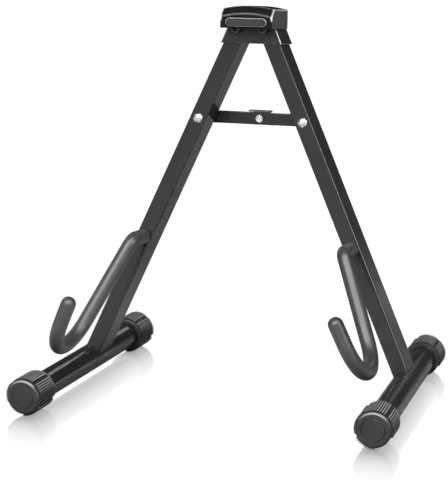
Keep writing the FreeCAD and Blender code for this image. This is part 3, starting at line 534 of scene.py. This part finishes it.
def skin_radius(along, around, curvature, seed):
    """The sleeve's outer radius, a little uneven and crumpled inside its bends."""
    slow = noise.noise(Vector((along * SWELL_WAVES, math.cos(around) * SWELL_ROUND, seed)))
    inner = max(0.0, math.cos(around) * curvature * SLEEVE_RADIUS)
    crease = math.sin(along / CREASE_LENGTH * math.tau) * inner * inner
    return SLEEVE_RADIUS * (1 + SWELL * slow - CREASE_DEPTH * crease)


def make_sleeve(side, material):
    """Hollow sleeve over the hook's rod: rolled lip at the leg, closed round tip."""
    leg = LegFrame(side)
    outer = hook_run(LEG_HALF_DEPTH + SLEEVE_GAP, HOOK_TIP + SLEEVE_END - SLEEVE_RADIUS)
    inner = hook_run(LEG_HALF_DEPTH + SLEEVE_GAP, HOOK_TIP)
    rings = []
    seed = SIDES.index(side) * 10.0

    def ring(station, radius_of, shift=0.0):
        place, heading, curvature = station
        way = Vector((math.cos(heading), math.sin(heading)))
        inward = Vector((-math.sin(heading), math.cos(heading)))
        centre = place + way * shift
        points = []
        for number in range(RING_SIDES):
            around = math.tau * number / RING_SIDES
            radius = radius_of(around, curvature)
            flat = centre + inward * math.cos(around) * radius
            points.append(leg.point(leg.stud, math.sin(around) * radius, flat.x, flat.y))
        rings.append(points)

    for station in reversed(inner):
        ring(station, lambda around, curvature: SLEEVE_BORE)
    middle = (SLEEVE_BORE + SLEEVE_RADIUS) / 2
    half = (SLEEVE_RADIUS - SLEEVE_BORE) / 2
    for step in range(1, LIP_RINGS):
        turn = math.pi * step / LIP_RINGS
        ring(outer[0], lambda around, curvature: middle - half * math.cos(turn),
             SLEEVE_LIP * (1 - math.sin(turn)))
    along = 0.0
    previous = outer[0][0]
    for station in outer[1:]:
        along += (station[0] - previous).length
        previous = station[0]
        ring(station, lambda around, curvature: skin_radius(along, around, curvature, seed))
    for step in range(1, TIP_RINGS):
        turn = math.pi / 2 * step / TIP_RINGS
        ring(outer[-1], lambda around, curvature: SLEEVE_RADIUS * math.cos(turn) ** TIP_FULLNESS,
             SLEEVE_RADIUS * math.sin(turn))
    return stitch_rings(side + "_sleeve_skin", rings, material)


def stitch_rings(name, rings, material):
    """A closed skin over the rings, with a fan at each end."""
    vertices = [point for points in rings for point in points]
    sides = len(rings[0])
    faces = []
    for row in range(len(rings) - 1):
        for number in range(sides):
            near = row * sides
            far = near + sides
            following = (number + 1) % sides
            faces.append((near + number, near + following, far + following, far + number))
    for points, start, flip in ((rings[0], 0, True), (rings[-1], (len(rings) - 1) * sides, False)):
        middle = len(vertices)
        vertices.append(sum(points, Vector()) / sides)
        for number in range(sides):
            pair = (start + number, start + (number + 1) % sides)
            faces.append((middle,) + (pair[::-1] if flip else pair))
    return mesh_object(name, vertices, faces, material)


def make_sleeves(materials):
    for side in SIDES:
        sleeve = make_sleeve(side, materials["sleeve_grey"])
        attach(sleeve, side + "_leg")
        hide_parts(side + "_hook_sleeve")


# ---------------------------------------------------------------- welds

LEG_WIDTH = 14.0 * MM
LEG_CORNER = 1.6 * MM
FOOT_RADIUS = 11.4 * MM
BEAD_RADIUS = 0.45 * MM
BEAD_RIPPLE = 2.2 * MM          # length of one ripple of the weld
BEAD_RIPPLE_DEPTH = 0.14        # share of the bead's radius
BEAD_UNEVENNESS = 0.10
BEAD_WAVES = 300                # of unevenness, per metre
BEAD_STEP = 0.6 * MM
BEAD_SIDES = 10                 # points round the bead
CORNER_PARTS = 4                # steps round one corner of the leg's section


def leg_outline(step):
    """The leg tube's outer section as (across, back) points, one step apart."""
    half_width = LEG_WIDTH / 2 - LEG_CORNER
    half_depth = LEG_HALF_DEPTH - LEG_CORNER
    corners = [(half_width, half_depth, 0), (-half_width, half_depth, 90),
               (-half_width, -half_depth, 180), (half_width, -half_depth, 270)]
    points = []
    for number, (across, back, start) in enumerate(corners):
        for part in range(CORNER_PARTS + 1):
            turn = math.radians(start + 90 * part / CORNER_PARTS)
            points.append(Vector((across + LEG_CORNER * math.cos(turn),
                                  back + LEG_CORNER * math.sin(turn))))
        following = corners[(number + 1) % len(corners)]
        turn = math.radians(following[2])
        end = Vector((following[0] + LEG_CORNER * math.cos(turn),
                      following[1] + LEG_CORNER * math.sin(turn)))
        run = end - points[-1]
        count = round(run.length / step)
        first = points[-1]
        points += [first + run * part / count for part in range(1, count)]
    return points


def foot_axis(side):
    """A point and the direction of the foot tube's axis, from its two caps."""
    front = box_centre(side + "_front_cap")
    rear = box_centre(side + "_rear_cap")
    return front, (rear - front).normalized()


def drop_to_tube(point, way, axis_point, axis):
    """Where a line down the leg first meets the foot tube's surface."""
    offset = point - axis_point
    offset -= axis * offset.dot(axis)
    across = way - axis * way.dot(axis)
    a = across.dot(across)
    b = 2 * across.dot(offset)
    c = offset.dot(offset) - FOOT_RADIUS * FOOT_RADIUS
    return point + way * ((-b - math.sqrt(b * b - 4 * a * c)) / (2 * a))


def make_weld(side, material):
    """Painted weld bead round the leg's foot, on the foot tube."""
    leg = LegFrame(side)
    axis_point, axis = foot_axis(side)
    seam = [drop_to_tube(leg.point(leg.stud, p.x, p.y, 0.0), -leg.up, axis_point, axis)
            for p in leg_outline(BEAD_STEP)]
    count = len(seam)
    along = 0.0
    rings = []
    for number, point in enumerate(seam):
        following = seam[(number + 1) % count]
        before = seam[number - 1]
        way = (following - before).normalized()
        outward = (point - axis_point) - axis * (point - axis_point).dot(axis)
        normal = (outward - way * outward.dot(way)).normalized()
        across = way.cross(normal)
        ripple = 1 - abs(math.sin(along / BEAD_RIPPLE * math.pi))
        uneven = noise.noise(Vector((along * BEAD_WAVES, SIDES.index(side) * 5.0, 0.0)))
        radius = BEAD_RADIUS * (1 - BEAD_RIPPLE_DEPTH * ripple + BEAD_UNEVENNESS * uneven)
        rings.append([point + (normal * math.cos(turn) + across * math.sin(turn)) * radius
                      for turn in (math.tau * k / BEAD_SIDES for k in range(BEAD_SIDES))])
        along += (following - point).length
    faces = []
    for row in range(count):
        near = row * BEAD_SIDES
        far = (row + 1) % count * BEAD_SIDES
        for k in range(BEAD_SIDES):
            after = (k + 1) % BEAD_SIDES
            faces.append((near + k, near + after, far + after, far + k))
    vertices = [point for ring in rings for point in ring]
    return mesh_object(side + "_foot_weld", vertices, faces, material)


def make_welds(materials):
    for side in SIDES:
        weld = make_weld(side, materials["frame_black"])
        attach(weld, side + "_leg")


# ---------------------------------------------------------------- studio

WHITE = 1.15                    # what the camera sees of the background, a little over white
FLOOR_HALF = 9.0                # half the floor's side
FLOOR_GLOW = (                  # Y and how brightly the floor there lights the stand
    (-0.40, 1.0), (-0.15, 0.45), (0.12, 0.40), (0.26, 0.24), (0.60, 0.30), (1.1, 0.27),
    (1.5, 0.24), (2.2, 0.28), (2.8, 0.50),
)
BRIGHT_PATCH = 0.9              # the floor's glow between the feet and outside them
PATCH_INSIDE = (0.07, 0.11)     # |X| where the patch between the feet fades out
PATCH_OUTSIDE = (0.20, 0.27)    # |X| where the patches outside them fade in
PATCH_BACK = (0.10, 0.22)       # Y where all of them fade out
CONTACT_REACH = 70.0 * MM       # how far round the stand it keeps light off the floor
CONTACT_DARKEST = 0.05
FLOOR_WINDOW = (75.0 * MM, 85.0 * MM)   # |X| where the camera stops seeing through the floor,
                                        # which shows the feet when they fold in and down
MIRROR_SHARE = 0.60             # how much of the floor's light is its mirror image
FADE_SHEETS = 20
FADE_HALF = 0.5                 # half a sheet's side
FADE_HEIGHT = 40.0 * MM
FADE_STEP = 0.145               # how much each sheet whitens what is mirrored through it
SPARE_BOUNCES = 4               # clear surfaces that a ray may cross besides the sheets
SOFTBOXES = (                   # direction, inner and outer half angle, radiance
    (direction(-20, 0), 36, 60, 0.62),
    (direction(2, 42), 18, 31, 6.0),
    (direction(-22, 31), 6, 10, 19.0),
    (direction(68, 22), 7, 13, 14.0),
    (direction(46, 56), 6, 10, 22.0),
    (direction(176, 30), 2, 12, 1.6),
    (direction(-120, 30), 14, 26, 1.0),
)
SKY = 0.07


def make_world():
    """Softboxes on a dim sky for the stand; the camera and the floor's mirror see white."""
    world = bpy.data.worlds.new("studio")
    bpy.context.scene.world = world
    world.use_nodes = True
    shader = Shader(world.node_tree)
    way = shader.add("ShaderNodeTexCoord").outputs["Generated"]
    light = SKY
    for towards, inner, outer, radiance in SOFTBOXES:
        nearness = shader.dot(way, tuple(towards))
        box = shader.spread(nearness, math.cos(math.radians(outer)),
                            math.cos(math.radians(inner)), 0.0, radiance)
        light = shader.math("ADD", light, box)
    path = shader.add("ShaderNodeLightPath")
    direct = shader.math("MAXIMUM", path.outputs["Is Camera Ray"], path.outputs["Is Singular Ray"])
    background = shader.add("ShaderNodeBackground", {
        "Color": grey(1.0), "Strength": shader.choose(direct, light, WHITE)})
    shader.show("ShaderNodeOutputWorld", background.outputs[0])


def flat_square(name, half, height, material):
    corners = [Vector((-half, -half, height)), Vector((half, -half, height)),
               Vector((half, half, height)), Vector((-half, half, height))]
    square = mesh_object(name, corners, [(0, 1, 2, 3)], material, smooth=False)
    return square


def floor_ramp(shader, depth):
    """The floor's glow along Y, from the list of its levels."""
    first, last = FLOOR_GLOW[0][0], FLOOR_GLOW[-1][0]
    along = shader.add("ShaderNodeMapRange", {"Value": depth, "From Min": first, "From Max": last})
    ramp = shader.add("ShaderNodeValToRGB", {"Fac": along.outputs["Result"]})
    for _ in FLOOR_GLOW[2:]:
        ramp.color_ramp.elements.new(0.5)
    for element, (place, level) in zip(ramp.color_ramp.elements, FLOOR_GLOW):
        element.position = (place - first) / (last - first)
        element.color = grey(level)
    return ramp.outputs["Color"]


def floor_material():
    """White glossy acrylic: its own light is even, and its mirror image lies over it.

    What it sends to the stand is another light, brighter between and outside the feet.
    """
    material, shader = new_material("white_floor")
    seen = shader.add("ShaderNodeLightPath").outputs["Is Camera Ray"]
    where = shader.add("ShaderNodeNewGeometry").outputs["Position"]
    aside = shader.size_of(shader.part_of(where, "X"))
    depth = shader.part_of(where, "Y")
    inside = shader.spread(aside, *PATCH_INSIDE, BRIGHT_PATCH, 0.0)
    outside = shader.spread(aside, *PATCH_OUTSIDE, 0.0, BRIGHT_PATCH)
    patches = shader.times(shader.math("MAXIMUM", inside, outside),
                           shader.spread(depth, *PATCH_BACK, 1.0, 0.0))
    glow = shader.times(shader.math("MAXIMUM", floor_ramp(shader, depth), patches),
                        shader.crevice_shade(CONTACT_REACH, CONTACT_DARKEST))
    light = shader.add("ShaderNodeEmission", {"Strength": shader.choose(seen, glow, 1.0)})
    mirror = shader.add("ShaderNodeBsdfGlossy", {"Roughness": 0.0, "Color": grey(1.0)})
    surface = shader.mixed(shader.times(seen, MIRROR_SHARE), light, mirror)
    window = shader.times(seen, shader.spread(aside, *FLOOR_WINDOW, 1.0, 0.0))
    windowed = shader.mixed(window, surface, shader.add("ShaderNodeBsdfTransparent"))
    shader.show("ShaderNodeOutputMaterial", windowed.outputs[0])
    return material


def fade_material():
    """Clear to every ray but the floor's mirror image, which it whitens a little."""
    material, shader = new_material("mirror_fade")
    mirrored = shader.add("ShaderNodeLightPath").outputs["Is Singular Ray"]
    clear = shader.add("ShaderNodeBsdfTransparent")
    white = shader.add("ShaderNodeEmission", {"Strength": WHITE})
    surface = shader.mixed(shader.times(mirrored, FADE_STEP), clear, white)
    shader.show("ShaderNodeOutputMaterial", surface.outputs[0])
    return material


def make_studio():
    make_world()
    flat_square("floor", FLOOR_HALF, 0.0, floor_material())
    fade = fade_material()
    for number in range(1, FADE_SHEETS + 1):
        sheet = flat_square("mirror_fade_{}".format(number), FADE_HALF,
                            FADE_HEIGHT * number / FADE_SHEETS, fade)
        sheet.visible_camera = False
        sheet.visible_diffuse = False
        sheet.visible_transmission = False
        sheet.visible_shadow = False
    bpy.context.scene.cycles.transparent_max_bounces = FADE_SHEETS + SPARE_BOUNCES
    bpy.context.scene.view_settings.view_transform = "Standard"


# ---------------------------------------------------------------- all of it


make_camera()
make_studio()
MATERIALS = make_materials()
paint_cad_nodes(MATERIALS)
make_sleeves(MATERIALS)
make_welds(MATERIALS)
